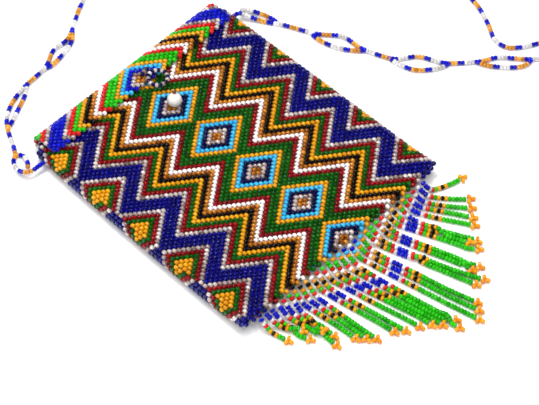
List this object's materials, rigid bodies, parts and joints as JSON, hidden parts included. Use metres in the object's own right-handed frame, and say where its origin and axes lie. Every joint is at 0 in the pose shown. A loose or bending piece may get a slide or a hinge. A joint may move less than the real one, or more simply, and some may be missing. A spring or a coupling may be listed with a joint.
{
  "type": "coin purse",
  "caption": "Flat woven glass-bead purse with a short fold-over flap, pearl and loop closure, beaded fringe along the hem and a beaded neck cord.",
  "frame": {"origin": "middle of the back's rest face, the surface that the purse lies on", "axes": "+X across the purse, +Y from the fringe to the flap, +Z out of its front; it lies on its back"},
  "size_m": [0.2928, 0.3193, 0.0215],
  "materials": {
    "green_glass_weave": "transparent green glass seed beads, glossy",
    "cobalt_glass_beads": "cobalt blue glass seed beads, glossy",
    "navy_glass_beads": "dark navy glass seed beads, glossy",
    "yellow_glass_beads": "opaque warm yellow glass seed beads, glossy",
    "silver_lined_beads": "clear glass beads with a silvered hole, sparkling",
    "pearl": "imitation pearl with a soft nacre lustre",
    "copper_beads": "small copper-coloured metal beads, polished",
    "nylon_thread": "twisted nylon beading thread, light"
  },
  "bodies": {
    "purse": {"back_panel": "green_glass_weave", "front_panel": "green_glass_weave", "left_side_turn": "cobalt_glass_beads", "right_side_turn": "cobalt_glass_beads", "bottom_hem": "navy_glass_beads", "mouth_edge_row": "green_glass_weave", "top_roll": "yellow_glass_beads", "button_stop_bead": "copper_beads", "button_thread": "nylon_thread", "left_cord_anchor": "yellow_glass_beads", "right_cord_anchor": "yellow_glass_beads", "neck_cord": "yellow_glass_beads", "neck_cord_loop_arms": "cobalt_glass_beads"},
    "flap": {"flap": "green_glass_weave", "flap_roll": "yellow_glass_beads", "loop_stem_bead": "navy_glass_beads"},
    "closure_loop": {"closure_loop": "silver_lined_beads"},
    "button_pearl": {"button_pearl": "pearl"},
    "fringe_left": {"fringe_strand_01": "green_glass_weave", "fringe_strand_02": "green_glass_weave", "fringe_strand_03": "green_glass_weave", "fringe_strand_04": "green_glass_weave", "fringe_strand_05": "green_glass_weave", "fringe_strand_06": "green_glass_weave", "fringe_strand_07": "green_glass_weave", "fringe_strand_08": "green_glass_weave", "fringe_strand_09": "green_glass_weave", "fringe_strand_10": "green_glass_weave"},
    "fringe_middle": {"fringe_strand_11": "green_glass_weave", "fringe_strand_12": "green_glass_weave", "fringe_strand_13": "green_glass_weave", "fringe_strand_14": "green_glass_weave", "fringe_strand_15": "green_glass_weave", "fringe_strand_16": "green_glass_weave", "fringe_strand_17": "green_glass_weave", "fringe_strand_18": "green_glass_weave", "fringe_strand_19": "green_glass_weave", "fringe_strand_20": "green_glass_weave", "fringe_strand_21": "green_glass_weave"},
    "fringe_right": {"fringe_strand_22": "green_glass_weave", "fringe_strand_23": "green_glass_weave", "fringe_strand_24": "green_glass_weave", "fringe_strand_25": "green_glass_weave", "fringe_strand_26": "green_glass_weave", "fringe_strand_27": "green_glass_weave", "fringe_strand_28": "green_glass_weave", "fringe_strand_29": "green_glass_weave", "fringe_strand_30": "green_glass_weave", "fringe_strand_31": "green_glass_weave"}
  },
  "joints": [
    {"name": "flap_fold", "type": "hinge", "parent": "purse", "child": "flap", "pos_m": [0, 0.08853, 0.00715], "axis": [-1, 0, 0], "range_deg": [0, 130]},
    {"name": "loop_lift", "type": "hinge", "parent": "flap", "child": "closure_loop", "pos_m": [0.008, 0.0747, 0.01575], "axis": [-1, 0, 0], "range_deg": [0, 75]},
    {"name": "pearl_roll", "type": "hinge", "parent": "purse", "child": "button_pearl", "pos_m": [0.0036, 0.0483, 0.0153], "axis": [0.1949, 0.1949, 0.9613], "continuous": true},
    {"name": "fringe_left_swing", "type": "hinge", "parent": "purse", "child": "fringe_left", "pos_m": [-0.046, -0.08288, 0.0078], "axis": [-1, 0, 0], "range_deg": [0, 85]},
    {"name": "fringe_middle_swing", "type": "hinge", "parent": "purse", "child": "fringe_middle", "pos_m": [0, -0.08288, 0.0078], "axis": [-1, 0, 0], "range_deg": [0, 85]},
    {"name": "fringe_right_swing", "type": "hinge", "parent": "purse", "child": "fringe_right", "pos_m": [0.042, -0.08288, 0.0078], "axis": [-1, 0, 0], "range_deg": [0, 85]}
  ]
}
